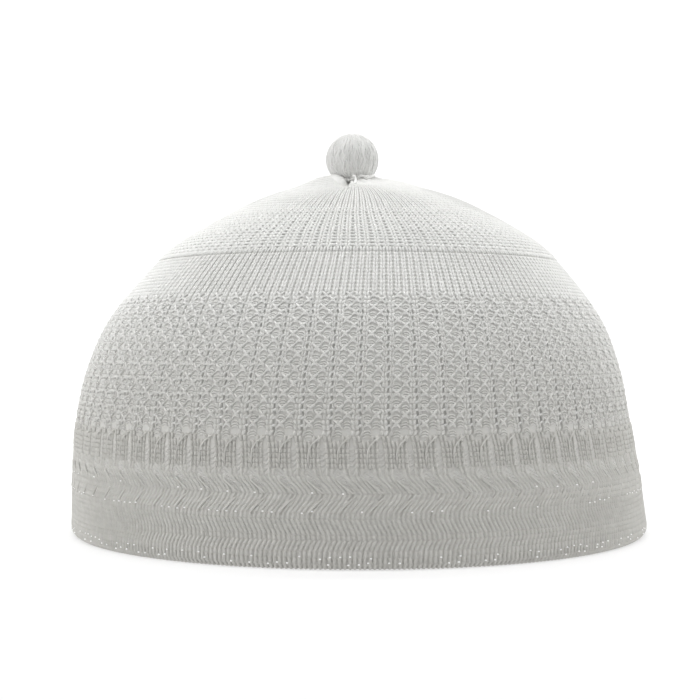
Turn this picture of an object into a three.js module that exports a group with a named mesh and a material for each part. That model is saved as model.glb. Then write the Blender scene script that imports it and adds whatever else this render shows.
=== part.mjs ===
// A knitted kufi: one hollow knit cap with a rolled hem and a gathered crown, closed at the
// top by a drawn yarn, with a small ball of wound yarn on it. Millimetres, +Z up. The origin
// is the middle of the rim on the surface that the cap rests on, and the wearer faces -Y.
import * as THREE from "three";

// Driving sizes of the cap.
const rimRadius = 90; // outside of the hem, where the cap is widest
const crownHeight = 110.4; // from the table to the gathered top of the crown
const wallThickness = 2.4; // one layer of the knit
const hemThickness = 4.6; // the rolled edge, from outside to inside
const hemDepth = 9; // how far the roll reaches up the inside
const hemRound = 2.4; // outer corner of the roll
const hemInnerRound = 0.9; // inner corner of the roll
const gatherThickness = 4.4; // the bunched knit at the top of the crown

// Driving sizes of the ball and of the yarn that is tied round its foot.
const ballRadius = 8.5; // over the wound strands
const strandRelief = 0.35; // depth of the hollows between the strands
const ballStrands = 20; // strands that run from pole to pole
const tieRadius = 0.5; // half the thickness of the tie yarn
const ballFoot = 0.83; // height of the tie below the ball's middle, as a share of the radius
const clearance = 0.3; // gap between pieces that touch

// The pattern: one knitted repeat is one rib of the side and one pleat of the crown.
const repeats = 72;
const pleatDepth = 0.7; // ridge to groove where the crown is gathered
const ribDepth = 0.55; // ridge to groove of the openwork on the side
const seamDepth = 0.5; // the sunk row where the side ends and the crown begins

// How finely the surfaces are divided.
const outerRows = 17;
const innerRows = 8;
const innerCandidates = 4; // outline rows looked at for each inner row
const hemRows = 3;
const ballRows = 12;
const tieSides = 8;
const tieSteps = 48;

// Sections of the outside from the hem to the top. height is a share of crownHeight, radius
// and lean are shares of rimRadius. lean is how far the section's middle has settled to +X.
const sections = [
  { height: 0.029, radius: 1.0, lean: 0.0 },
  { height: 0.17, radius: 0.987, lean: -0.0105 },
  { height: 0.324, radius: 0.964, lean: -0.021 },
  { height: 0.458, radius: 0.93, lean: -0.019 },
  { height: 0.592, radius: 0.864, lean: -0.013 },
  { height: 0.729, radius: 0.738, lean: -0.005 },
  { height: 0.8, radius: 0.654, lean: -0.001 },
  { height: 0.868, radius: 0.531, lean: 0.002 },
  { height: 0.936, radius: 0.368, lean: 0.002 },
  { height: 0.985, radius: 0.188, lean: -0.006 },
  { height: 1.0, radius: 0.104, lean: -0.023 },
];

// Soft folds of the crown where it has settled. azimuth is measured from +X towards +Y in
// degrees, spread is the fold's half width in degrees, rise a share of crownHeight, and neck
// the share of that rise that is left where the crown is gathered.
const crownFolds = [
  { azimuth: 270, spread: 62, rise: -0.012, neck: 1.4 },
  { azimuth: 90, spread: 55, rise: 0.015, neck: 0.3 },
  { azimuth: 8, spread: 15, rise: -0.012, neck: 0 },
  { azimuth: 172, spread: 15, rise: -0.009, neck: 0 },
];

// Lumps and creases of the gathers right at the top, in the same terms.
const neckPuckers = [
  { azimuth: 218, spread: 24, rise: 0.018, neck: 1 },
  { azimuth: 257, spread: 7, rise: -0.014, neck: 1 },
  { azimuth: 300, spread: 18, rise: 0.003, neck: 1 },
  { azimuth: 350, spread: 26, rise: 0.008, neck: 1 },
  { azimuth: 40, spread: 30, rise: 0.015, neck: 1 },
  { azimuth: 95, spread: 16, rise: -0.006, neck: 1 },
  { azimuth: 140, spread: 24, rise: 0.006, neck: 1 },
];

// Bands of the side between the rim and the top, as shares of the outline's length, with the
// depth of their ribs.
const ribBands = [
  { from: 0.217, to: 0.473, depth: ribDepth },
  { from: 0.48, to: 0.58, depth: ribDepth / 2 },
  { from: 0.78, to: 1.0, depth: pleatDepth },
];
const ribFade = 0.03; // share of the length over which a band's ribs rise or fall
const seamAt = 0.588; // share of the outline's length where the side meets the crown
const foldStart = 0.74; // radius share inside which the crown's folds begin
const foldFull = 0.5; // radius share inside which they have their full height
const gatherStart = 0.7; // share of the outline's length from which the wall grows thicker
const puckerStart = 0.26; // the same for the puckers at the neck
const puckerFull = 0.13;
const seatDrop = 0.009; // share of crownHeight that the ball's seat lies below the neck

// Worked out from the sizes above.
const segments = repeats * 2;
const top = sections[sections.length - 1];
const neckLean = top.lean * rimRadius;
const tieBelowBall = ballFoot * ballRadius;
const tieFromBall = ballRadius + clearance + tieRadius;
const tieRingRadius = Math.sqrt(tieFromBall ** 2 - tieBelowBall ** 2);
const seatRadius = tieRingRadius + tieRadius + clearance;
const seatHeight = crownHeight * (top.height - seatDrop);
const tieHeight = seatHeight + clearance + tieRadius;
const ballHeight = tieHeight + tieBelowBall;
const dimpleHeight = ballHeight - ballRadius - clearance;

// A smooth hill of height 1 at the fold's azimuth, down to almost nothing past its spread.
function foldShape(azimuth, fold) {
  const away = THREE.MathUtils.euclideanModulo(azimuth - fold.azimuth + 180, 360) - 180;
  return Math.exp(-((away / fold.spread) ** 2));
}

// Height that a table of folds adds at an azimuth and a radius. The folds begin inside the
// radius share starts and have their full height inside the share full.
function foldRise(azimuth, radius, folds, starts, full) {
  const share = radius / rimRadius;
  const begun = 1 - THREE.MathUtils.smoothstep(share, full, starts);
  const open = THREE.MathUtils.smoothstep(share, 0, full);
  return folds.reduce((sum, fold) => {
    const left = THREE.MathUtils.lerp(fold.neck, 1, open);
    return sum + crownHeight * fold.rise * foldShape(azimuth, fold) * begun * left;
  }, 0);
}

// How far the settled crown stands above its even outline.
function crownRise(azimuth, radius) {
  return foldRise(azimuth, radius, crownFolds, foldStart, foldFull);
}

// How far the puckered gathers stand above the settled crown.
function puckerRise(azimuth, radius) {
  return foldRise(azimuth, radius, neckPuckers, puckerStart, puckerFull);
}

// Depth of the ribs at a share of the outline's length, fading in and out at the band's ends.
function ribAt(along) {
  return ribBands.reduce((depth, band) => {
    const rising = THREE.MathUtils.smoothstep(along, band.from - ribFade, band.from + ribFade);
    const falling = 1 - THREE.MathUtils.smoothstep(along, band.to - ribFade, band.to + ribFade);
    return depth + band.depth * rising * (band.to < 1 ? falling : 1);
  }, 0);
}

// The even outline of the outside: points with radius, height and lean, evenly spaced.
function outline(rows) {
  const points = sections.map(
    (section) =>
      new THREE.Vector3(
        section.radius * rimRadius,
        section.height * crownHeight,
        section.lean * rimRadius,
      ),
  );
  const curve = new THREE.CatmullRomCurve3(points, false, "centripetal");
  return Array.from({ length: rows + 1 }, (_, row) => {
    const along = row / rows;
    const at = curve.getPointAt(along);
    const tangent = curve.getTangentAt(along);
    const slope = Math.hypot(tangent.x, tangent.y);
    return {
      along,
      radius: at.x,
      height: at.y,
      lean: at.z,
      outX: tangent.y / slope,
      outZ: -tangent.x / slope,
    };
  });
}

// One ring of points round the cap, with a function of the azimuth in degrees for each size.
function ring(radiusAt, heightAt, lean, count = segments) {
  return Array.from({ length: count }, (_, step) => {
    const azimuth = (360 * step) / count;
    const angle = THREE.MathUtils.degToRad(azimuth);
    const radius = radiusAt(azimuth, step);
    return new THREE.Vector3(
      lean + radius * Math.cos(angle),
      radius * Math.sin(angle),
      heightAt(azimuth, step),
    );
  });
}

// A closed skin through rings of equal length, from a first pole to a last pole.
function closedLoft(firstPole, rings, lastPole) {
  const count = rings[0].length;
  const positions = [firstPole, ...rings.flat(), lastPole].flatMap((point) => point.toArray());
  const vertex = (row, step) => 1 + row * count + (step % count);
  const last = 1 + rings.length * count;
  const faces = [];
  for (let step = 0; step < count; step += 1) {
    faces.push(0, vertex(0, step), vertex(0, step + 1));
    for (let row = 0; row + 1 < rings.length; row += 1) {
      const near = vertex(row, step);
      const nearNext = vertex(row, step + 1);
      const far = vertex(row + 1, step);
      const farNext = vertex(row + 1, step + 1);
      faces.push(near, far, farNext, near, farNext, nearNext);
    }
    faces.push(vertex(rings.length - 1, step + 1), vertex(rings.length - 1, step), last);
  }
  const geometry = new THREE.BufferGeometry();
  geometry.setAttribute("position", new THREE.Float32BufferAttribute(positions, 3));
  geometry.setIndex(faces);
  geometry.computeVertexNormals();
  return geometry;
}

// The outside of the cap, from the neck down to the hem.
function outerRings() {
  return outline(outerRows)
    .reverse()
    .map((row) => {
      const atSeam = Math.abs(row.along - seamAt) * outerRows < 0.5;
      const sunk = atSeam ? seamDepth : 0;
      const rib = ribAt(row.along) / 2;
      const out = (step) => (step % 2 ? rib : -rib) - sunk;
      return ring(
        (azimuth, step) => row.radius + out(step) * row.outX,
        (azimuth, step) =>
          row.height +
          out(step) * row.outZ +
          crownRise(azimuth, row.radius) +
          puckerRise(azimuth, row.radius),
        row.lean,
      );
    });
}

// The rounded roll of the hem, from the outer corner to the flat that rests on the table and
// up to the inside of the roll.
function hemRings() {
  const hemMiddle = rimRadius - hemRound;
  const outerCorner = Array.from({ length: hemRows }, (_, row) => {
    const turn = (Math.PI / 2) * ((row + 1) / hemRows);
    return [hemMiddle + hemRound * Math.cos(turn), hemRound * (1 - Math.sin(turn))];
  });
  const flatEdge = rimRadius - hemThickness + hemInnerRound;
  const innerCorner = Array.from({ length: hemRows }, (_, row) => {
    const turn = (Math.PI / 2) * (row / (hemRows - 1));
    return [flatEdge - hemInnerRound * Math.sin(turn), hemInnerRound * (1 - Math.cos(turn))];
  });
  return [...outerCorner, ...innerCorner].map(([radius, height]) =>
    ring(() => radius, () => height, 0),
  );
}

// The inside of the cap, from the top of the roll up to the crown. It follows the outside one
// wall further in, and the gathers make the wall thicker at the top.
function innerRings() {
  const rows = outline(outerRows * innerCandidates).filter((row) => row.height > hemDepth);
  const rollTop = rows.shift();
  const wallRows = Array.from(
    { length: innerRows },
    (_, row) => rows[Math.round((row * (rows.length - 1)) / innerRows)],
  );
  return [rollTop, ...wallRows].map((row, index) => {
    const gathered = THREE.MathUtils.smoothstep(row.along, gatherStart, 1);
    const grown = THREE.MathUtils.lerp(wallThickness, gatherThickness, gathered);
    const wall = index === 0 ? hemThickness : grown;
    return ring(
      () => row.radius - wall * row.outX,
      (azimuth) => row.height - wall * row.outZ + crownRise(azimuth, row.radius),
      row.lean,
    );
  });
}

// The cap as one closed solid: the seat of the ball, the outside, the roll and the inside.
function knitCap() {
  const dimple = new THREE.Vector3(neckLean, 0, dimpleHeight);
  const seat = ring(() => seatRadius, () => seatHeight, neckLean);
  const innerTop = new THREE.Vector3(neckLean, 0, seatHeight - gatherThickness);
  return closedLoft(
    dimple,
    [seat, ...outerRings(), ...hemRings(), ...innerRings()],
    innerTop,
  );
}

// The ball of wound yarn: strands side by side from pole to pole.
function yarnBall() {
  const rings = Array.from({ length: ballRows - 1 }, (_, row) => {
    const down = (Math.PI * (row + 1)) / ballRows;
    const hollow = strandRelief * Math.sin(down);
    const radiusAt = (step) => ballRadius - (step % 2 ? hollow : 0);
    return ring(
      (azimuth, step) => radiusAt(step) * Math.sin(down),
      (azimuth, step) => radiusAt(step) * Math.cos(down),
      0,
      ballStrands * 2,
    );
  });
  const pole = new THREE.Vector3(0, 0, ballRadius);
  return closedLoft(pole, rings, pole.clone().negate());
}

// A named mesh with the look of white yarn, a little darker or lighter.
function yarnMesh(name, geometry, colour) {
  const material = new THREE.MeshStandardMaterial({ color: colour, roughness: 0.85, metalness: 0 });
  const mesh = new THREE.Mesh(geometry, material);
  mesh.name = name;
  return mesh;
}

const kufi = new THREE.Group();
kufi.name = "kufi";
kufi.add(yarnMesh("knit_cap", knitCap(), 0xe6e6e4));

// The ball and its tie share the middle of the neck.
const topKnot = new THREE.Group();
topKnot.position.set(neckLean, 0, ballHeight);
topKnot.add(yarnMesh("yarn_ball", yarnBall(), 0xdcdcda));
const tie = yarnMesh(
  "tie_yarn",
  new THREE.TorusGeometry(tieRingRadius, tieRadius, tieSides, tieSteps),
  0xf0f0ee,
);
tie.position.z = tieHeight - ballHeight;
topKnot.add(tie);
kufi.add(topKnot);

export default kufi;
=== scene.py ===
"""A white knit kufi with a small ball of wound yarn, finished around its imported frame.

The cap is one knit from rim to top. Every stitch is a V of two yarn legs that lies on the
form of the cap, and bands of different stitches follow each other from the rim upwards: fine
ribs, two zigzag bands, a row of eyelets, swung wales, openwork, a close V rib and a crown of
ladders that is gathered under the ball. All lengths are metres.
"""

from __future__ import annotations

import logging
import math
from dataclasses import dataclass, field
from enum import Enum
from typing import Sequence

import bmesh
import bpy
import numpy as np
from mathutils import Matrix, Vector

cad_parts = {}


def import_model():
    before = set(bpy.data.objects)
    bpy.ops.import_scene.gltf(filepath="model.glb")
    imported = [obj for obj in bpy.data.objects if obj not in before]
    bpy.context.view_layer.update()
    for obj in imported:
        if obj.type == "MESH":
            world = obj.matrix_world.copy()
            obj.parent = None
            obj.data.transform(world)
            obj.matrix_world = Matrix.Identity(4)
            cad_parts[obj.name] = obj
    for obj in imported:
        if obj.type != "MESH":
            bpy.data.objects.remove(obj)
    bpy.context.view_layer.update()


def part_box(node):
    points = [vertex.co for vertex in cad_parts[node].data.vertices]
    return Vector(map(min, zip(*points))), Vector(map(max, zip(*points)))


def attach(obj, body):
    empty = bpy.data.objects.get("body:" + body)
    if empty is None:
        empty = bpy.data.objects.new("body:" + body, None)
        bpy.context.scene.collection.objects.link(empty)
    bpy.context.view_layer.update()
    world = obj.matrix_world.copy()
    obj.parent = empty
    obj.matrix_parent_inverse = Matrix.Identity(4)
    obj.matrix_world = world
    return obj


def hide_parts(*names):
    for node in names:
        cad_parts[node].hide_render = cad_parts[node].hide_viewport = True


LOG = logging.getLogger("kufi")
MM = 0.001
FULL_TURN = 2.0 * math.pi
Colour = tuple[float, float, float]

# The crown stands this high over the table, as in the part's source.
CROWN_HEIGHT = 110.4 * MM
# Painted light: between these heights the yarns of the openwork turn from their shade to their colour,
# lighter upwards.
OPENWORK_PAINTED_LIGHT = (0.034, 0.07)
# Painted shade on two soft patches of the crown's shoulders: how far the tint of a stitch there falls below
# 0, which is the plain shade.
FOLD_SHADE = 1.5


class Slot(Enum):
    """The record's material slots."""

    KNIT = "white_knit"
    YARN = "white_yarn"


class Lay(Enum):
    """How the wales of a band are spread over one repeat of the pattern."""

    EVEN = "three even wales"
    OPENWORK = "two firm wales beside two columns of eyelets"
    PAIRED = "two wales and an empty needle"


class Wale(Enum):
    """The three wales of a repeat, from its groove to the right."""

    FIRST = 0
    MIDDLE = 1
    LAST = 2


# The form of the cap


@dataclass(frozen=True)
class Section:
    """One section of the cap's outside, in shares of the cap's own sizes."""

    height: float
    radius: float
    lean: float


@dataclass(frozen=True)
class Fold:
    """A soft hill or hollow of the settled crown, at an azimuth in degrees."""

    azimuth: float
    spread: float
    rise: float
    neck: float


@dataclass
class CapForm:
    """The outside of the cap: turns a place on the knit into a point in space.

    A place is an azimuth in radians, a length along the outline from the table upwards, and
    a depth outwards from the surface.
    """

    rim_radius: float
    crown_height: float
    hem_round: float = 2.4 * MM
    hem_thickness: float = 4.6 * MM
    wall: float = 2.4 * MM
    gathered_wall: float = 4.4 * MM
    thick_from: float = 0.7
    fold_start: float = 0.74
    fold_full: float = 0.5
    pucker_start: float = 0.26
    pucker_full: float = 0.13
    samples: int = 600
    sections: Sequence[Section] = (
        Section(0.029, 1.0, 0.0),
        Section(0.17, 0.987, -0.0105),
        Section(0.324, 0.964, -0.021),
        Section(0.458, 0.93, -0.019),
        Section(0.592, 0.864, -0.013),
        Section(0.729, 0.738, -0.005),
        Section(0.8, 0.654, -0.001),
        Section(0.868, 0.531, 0.002),
        Section(0.936, 0.368, 0.002),
        Section(0.985, 0.188, -0.006),
        Section(1.0, 0.104, -0.023),
    )
    crown_folds: Sequence[Fold] = (
        Fold(270, 62, -0.012, 1.4),
        Fold(90, 55, 0.015, 0.3),
        Fold(8, 15, -0.012, 0),
        Fold(172, 15, -0.009, 0),
    )
    neck_puckers: Sequence[Fold] = (
        Fold(218, 24, 0.018, 1),
        Fold(257, 7, -0.014, 1),
        Fold(300, 18, 0.003, 1),
        Fold(350, 26, 0.008, 1),
        Fold(40, 30, 0.015, 1),
        Fold(95, 16, -0.006, 1),
        Fold(140, 24, 0.006, 1),
    )
    hem_bottom: float = field(init=False)
    top: float = field(init=False)

    def __post_init__(self) -> None:
        """Work out the outline once, from the underside of the hem to the neck."""
        rise = self._spline()
        length = np.concatenate([[0.0], np.cumsum(np.linalg.norm(np.diff(rise[:, :2], axis=0), axis=1))])
        start = self.sections[0].height * self.crown_height
        turn = np.linspace(0.0, math.pi / 2, 16)[:-1]
        middle = self.rim_radius - self.hem_round
        flat = self.hem_thickness - self.hem_round
        bend = self.hem_round * np.stack([np.sin(turn), 1 - np.cos(turn), 0 * turn], axis=1)
        corner = bend + [middle, 0.0, 0.0]
        corner_along = self.hem_round - self.hem_round * (math.pi / 2 - turn)
        under = np.array([[middle - flat, 0.0, 0.0]])
        self.hem_bottom = float(corner_along[0])
        points = np.concatenate([under, corner, rise])
        self._along = np.concatenate([[self.hem_bottom - flat], corner_along, start + length])
        self._points = points
        slope = np.gradient(points[:, :2], self._along, axis=0)
        size = np.maximum(np.linalg.norm(slope, axis=1), 1e-9)
        self._out = np.stack([slope[:, 1] / size, -slope[:, 0] / size], axis=1)
        self.top = float(self._along[-1])

    def _spline(self) -> np.ndarray:
        """Run a centripetal Catmull-Rom curve through the sections.

        Returns:
            Rows of radius, height and lean, evenly close, from the hem to the neck.
        """
        shares = np.array([(s.radius, s.height, s.lean) for s in self.sections])
        knots = shares * [self.rim_radius, self.crown_height, self.rim_radius]
        ends = np.concatenate([[2 * knots[0] - knots[1]], knots, [2 * knots[-1] - knots[-2]]])
        rows = []
        per_span = self.samples // (len(knots) - 1)
        for index in range(len(knots) - 1):
            a, b, c, d = ends[index : index + 4]
            gaps = [np.linalg.norm(q - p) ** 0.5 for p, q in ((a, b), (b, c), (c, d))]
            before = (b - a) / gaps[0] - (c - a) / (gaps[0] + gaps[1]) + (c - b) / gaps[1]
            after = (c - b) / gaps[1] - (d - b) / (gaps[1] + gaps[2]) + (d - c) / gaps[2]
            t = np.linspace(0.0, 1.0, per_span, endpoint=index == len(knots) - 2)[:, None]
            leaving = (t**3 - 2 * t**2 + t) * before * gaps[1]
            arriving = (t**3 - t**2) * after * gaps[1]
            rows.append(b + (3 * t**2 - 2 * t**3) * (c - b) + leaving + arriving)
        return np.concatenate(rows)

    def radius(self, along: np.ndarray) -> np.ndarray:
        """Radius of the even outline at a length along it."""
        return np.interp(along, self._along, self._points[:, 0])

    def height(self, along: np.ndarray) -> np.ndarray:
        """Height of the even outline at a length along it."""
        return np.interp(along, self._along, self._points[:, 1])

    def wall_at(self, along: np.ndarray) -> np.ndarray:
        """Thickness of the wall, which grows where the crown is gathered."""
        gathered = smooth_step(along / self.top, self.thick_from, 1.0)
        return self.wall + (self.gathered_wall - self.wall) * gathered

    def _folds(
        self, degrees: np.ndarray, share: np.ndarray, folds: Sequence[Fold], start: float, full: float
    ) -> np.ndarray:
        """Height that a table of folds adds.

        Args:
            degrees: azimuths in degrees.
            share: radius as a share of the rim's.
            folds: the table.
            start: radius share inside which the folds begin.
            full: radius share inside which they have their full height.

        Returns:
            Rise in metres.
        """
        begun = 1 - smooth_step(share, full, start)
        open_share = smooth_step(share, 0.0, full)
        rise = np.zeros_like(share)
        for fold in folds:
            away = (degrees - fold.azimuth + 180) % 360 - 180
            left = fold.neck + (1 - fold.neck) * open_share
            rise += fold.rise * np.exp(-((away / fold.spread) ** 2)) * left
        return rise * begun * self.crown_height

    def place(self, azimuth: np.ndarray, along: np.ndarray, depth: np.ndarray) -> np.ndarray:
        """Turn places on the knit into points.

        Args:
            azimuth: radians from +X towards +Y.
            along: length along the outline, from the table upwards.
            depth: distance outwards from the surface.

        Returns:
            An array of points with a last axis of three.
        """
        radius = self.radius(along)
        lean = np.interp(along, self._along, self._points[:, 2])
        out_side = np.interp(along, self._along, self._out[:, 0])
        out_up = np.interp(along, self._along, self._out[:, 1])
        share = radius / self.rim_radius
        degrees = np.degrees(azimuth)
        rise = self._folds(degrees, share, self.crown_folds, self.fold_start, self.fold_full)
        rise += self._folds(degrees, share, self.neck_puckers, self.pucker_start, self.pucker_full)
        reach = radius + depth * out_side
        height = self.height(along) + depth * out_up + rise
        return np.stack([lean + reach * np.cos(azimuth), reach * np.sin(azimuth), height], axis=-1)


def smooth_step(value: np.ndarray, low: float, high: float) -> np.ndarray:
    """Rise smoothly from 0 at low to 1 at high."""
    share = np.clip((value - low) / (high - low), 0.0, 1.0)
    return share * share * (3 - 2 * share)


# Joined meshes from one template


@dataclass
class Template:
    """One small shape that is repeated many times, as plain arrays."""

    points: np.ndarray
    corners: np.ndarray
    counts: np.ndarray

    @classmethod
    def spindle(cls, sides: int, rings: int, fullness: float = 1.25) -> Template:
        """Make a grain of yarn along X, from -1 to 1, with pointed ends.

        Args:
            sides: sides round the grain.
            rings: rings of points between its ends.
            fullness: how much wider than an ellipse the end rings are.

        Returns:
            The template.
        """
        mesh = bmesh.new()
        bmesh.ops.create_uvsphere(mesh, u_segments=sides, v_segments=rings + 1, radius=1.0)
        bmesh.ops.rotate(mesh, verts=mesh.verts, matrix=Matrix.Rotation(math.pi / 2, 3, "Y"))
        for vert in mesh.verts:
            if 0.3 < abs(vert.co.x) < 0.95:
                vert.co.y *= fullness
                vert.co.z *= fullness
        return cls._from(mesh)

    @classmethod
    def tube(cls, sides: int, steps: int) -> Template:
        """Make a straight closed tube along X, from -1 to 1, with steps to bend it at.

        Args:
            sides: sides round the tube.
            steps: parts of its length.

        Returns:
            The template.
        """
        mesh = bmesh.new()
        bmesh.ops.create_circle(mesh, cap_ends=True, segments=sides, radius=1.0)
        bmesh.ops.rotate(mesh, verts=mesh.verts, matrix=Matrix.Rotation(math.pi / 2, 3, "Y"))
        bmesh.ops.translate(mesh, verts=mesh.verts, vec=(-1.0, 0.0, 0.0))
        end = mesh.faces[:]
        for step in range(steps):
            grown = bmesh.ops.extrude_face_region(mesh, geom=end)["geom"]
            verts = [part for part in grown if isinstance(part, bmesh.types.BMVert)]
            bmesh.ops.translate(mesh, verts=verts, vec=(2.0 / steps, 0.0, 0.0))
            if step > 0 and end[0].is_valid:
                bmesh.ops.delete(mesh, geom=end, context="FACES_ONLY")
            end = [part for part in grown if isinstance(part, bmesh.types.BMFace)]
        bmesh.ops.recalc_face_normals(mesh, faces=mesh.faces)
        return cls._from(mesh)

    @classmethod
    def _from(cls, mesh: bmesh.types.BMesh) -> Template:
        """Take the arrays out of a bmesh and free it.

        Args:
            mesh: the finished shape.

        Returns:
            The template.
        """
        mesh.verts.index_update()
        points = np.array([vert.co[:] for vert in mesh.verts])
        corners = np.array([vert.index for face in mesh.faces for vert in face.verts])
        counts = np.array([len(face.verts) for face in mesh.faces])
        mesh.free()
        return cls(points, corners, counts)


def joined_mesh(name: str, template: Template, points: np.ndarray, tint: np.ndarray) -> bpy.types.Object:
    """Join many bent copies of a template into one mesh object.

    Args:
        name: the piece's name.
        template: the shape that is repeated.
        points: placed points, an array of copies by template points by three.
        tint: one number for each copy, kept as the attribute "tint".

    Returns:
        The new object, with a UV map that runs along and round each copy.
    """
    copies, size, _ = points.shape
    corners = (template.corners[None] + np.arange(copies)[:, None] * size).ravel()
    counts = np.tile(template.counts, copies)
    mesh = bpy.data.meshes.new(name)
    mesh.vertices.add(copies * size)
    mesh.vertices.foreach_set("co", points.astype(np.float32).ravel())
    mesh.loops.add(len(corners))
    mesh.loops.foreach_set("vertex_index", corners.astype(np.int32))
    mesh.polygons.add(len(counts))
    starts = np.concatenate([[0], np.cumsum(counts)[:-1]])
    mesh.polygons.foreach_set("loop_start", starts.astype(np.int32))
    mesh.polygons.foreach_set("use_smooth", np.ones(len(counts), dtype=bool))
    mesh.update(calc_edges=True)
    shape = template.points[template.corners]
    round_share = np.arctan2(shape[:, 2], shape[:, 1]) / FULL_TURN + 0.5
    pairs = np.stack([(shape[:, 0] + 1) / 2, round_share], axis=1)
    layer = mesh.uv_layers.new(name="strand")
    layer.data.foreach_set("uv", np.tile(pairs, (copies, 1)).astype(np.float32).ravel())
    attribute = mesh.attributes.new("tint", "FLOAT", "POINT")
    attribute.data.foreach_set("value", np.repeat(tint, size).astype(np.float32))
    mesh.validate()
    piece = bpy.data.objects.new(name, mesh)
    bpy.context.scene.collection.objects.link(piece)
    return piece


def graded_tint(
    points: np.ndarray, chance: np.random.Generator, painted_light_heights: tuple[float, float] | None
) -> np.ndarray:
    """Give every copy of a template a tint: by chance, and, if asked, lighter upwards as painted light.

    Args:
        points: placed points, by copy and template point.
        chance: the seeded source of small differences.
        painted_light_heights: where the painted lightening starts and ends, in metres, or None for chance
            alone.

    Returns:
        One tint a copy, from 0 to 1.
    """
    tint = chance.random(len(points))
    if painted_light_heights is None:
        return tint
    low, high = painted_light_heights
    share = np.clip((points[:, :, 2].mean(axis=1) - low) / (high - low), 0.0, 1.0)
    return 0.3 * tint + 0.7 * share**1.5


# The knit


@dataclass(frozen=True)
class KnitBand:
    """A run of courses of one kind of stitch, between two lengths along the outline.

    foot and head are how far a leg's lower and upper end lie from the wale's middle, girth is
    its half width, all in wales. overlap is how far a leg reaches past its course at each end,
    in courses. bow is how far its middle stands proud and dive how deep it lies, in girths. lift
    raises the whole band.
    """

    name: str
    bottom: float
    top: float
    courses: int
    lay: Lay = Lay.EVEN
    wales: Sequence[Wale] = (Wale.FIRST, Wale.MIDDLE, Wale.LAST)
    foot: float = 0.10
    head: float = 0.30
    overlap: float = 0.08
    girth: float = 0.22
    bow: float = 0.5
    dive: float = 0.9
    lift: float = 0.0


@dataclass(frozen=True)
class Course:
    """A table of lengths along the outline in millimetres and a value at each of them."""

    stops: Sequence[tuple[float, float]]

    def at(self, along: np.ndarray) -> np.ndarray:
        """Read the table at lengths in metres, straight between its stops."""
        table = np.array(self.stops)
        return np.interp(along, table[:, 0] * MM, table[:, 1])


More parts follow.
